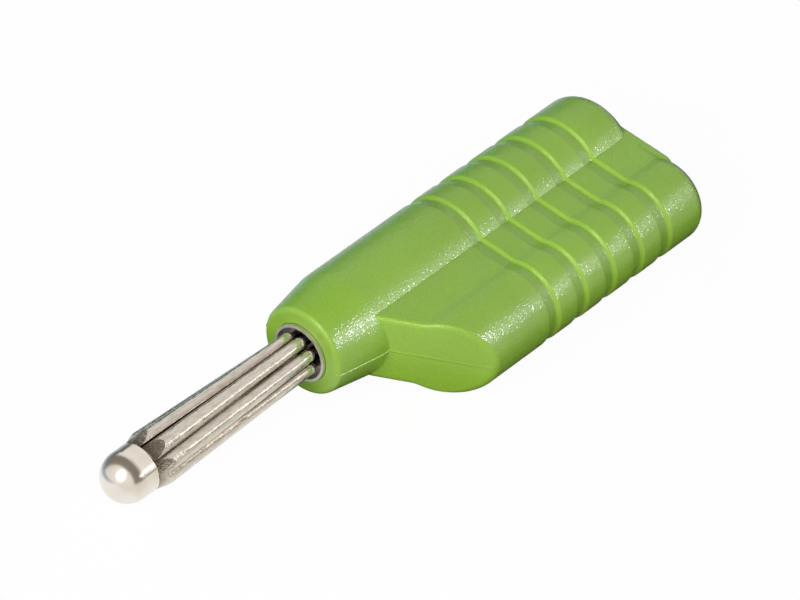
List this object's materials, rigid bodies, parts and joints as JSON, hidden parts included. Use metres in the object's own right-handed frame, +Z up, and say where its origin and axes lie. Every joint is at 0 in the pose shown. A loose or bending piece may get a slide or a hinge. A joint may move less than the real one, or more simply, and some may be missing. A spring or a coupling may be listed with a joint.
{
  "type": "banana plug",
  "caption": "Stackable 4 mm banana plug with a bunch of spring wires round its pin, a green moulded handle with grip grooves, a rear socket and a screw terminal.",
  "frame": {"origin": "middle of the footprint, on the surface that the plug lies on", "axes": "+Y along the pin axis from tip to rear, +X towards the cable lobe, +Z up"},
  "size_m": [0.0142, 0.0506, 0.008],
  "materials": {
    "green_plastic": "matte, finely spark-eroded",
    "nickel_head": "bright nickel plate, polished",
    "nickel_spring": "bright nickel plate, drawn along the wire",
    "nickel_body": "nickel plate, turned",
    "bare_brass": "bare, cut from strip",
    "zinc_steel": "zinc plate, satin"
  },
  "bodies": {
    "plug": {"handle": "green_plastic", "head_pin": "nickel_head", "spring_wire_1": "nickel_spring", "spring_wire_2": "nickel_spring", "spring_wire_3": "nickel_spring", "spring_wire_4": "nickel_spring", "spring_wire_5": "nickel_spring", "spring_wire_6": "nickel_spring", "spring_wire_7": "nickel_spring", "spring_wire_8": "nickel_spring", "collar": "nickel_body", "contact_body": "nickel_body", "bridge_strap": "bare_brass", "terminal_block": "nickel_body"},
    "pad": {"pressure_pad": "zinc_steel"},
    "screw": {"clamp_screw": "zinc_steel"}
  },
  "joints": [
    {"name": "pad_press", "type": "slide", "parent": "plug", "child": "pad", "axis": [0.1197, 0, 0.9928], "range_m": [0, 0.0015]},
    {"name": "screw_turn", "type": "hinge", "parent": "pad", "child": "screw", "pos_m": [0.00369, 0.0056, 0.00097], "axis": [0.1197, 0, 0.9928], "range_deg": [0, 1080]}
  ],
  "couplings": [
    {"joint": "screw_turn", "follows": "pad_press", "rad_per_m": 12566}
  ]
}
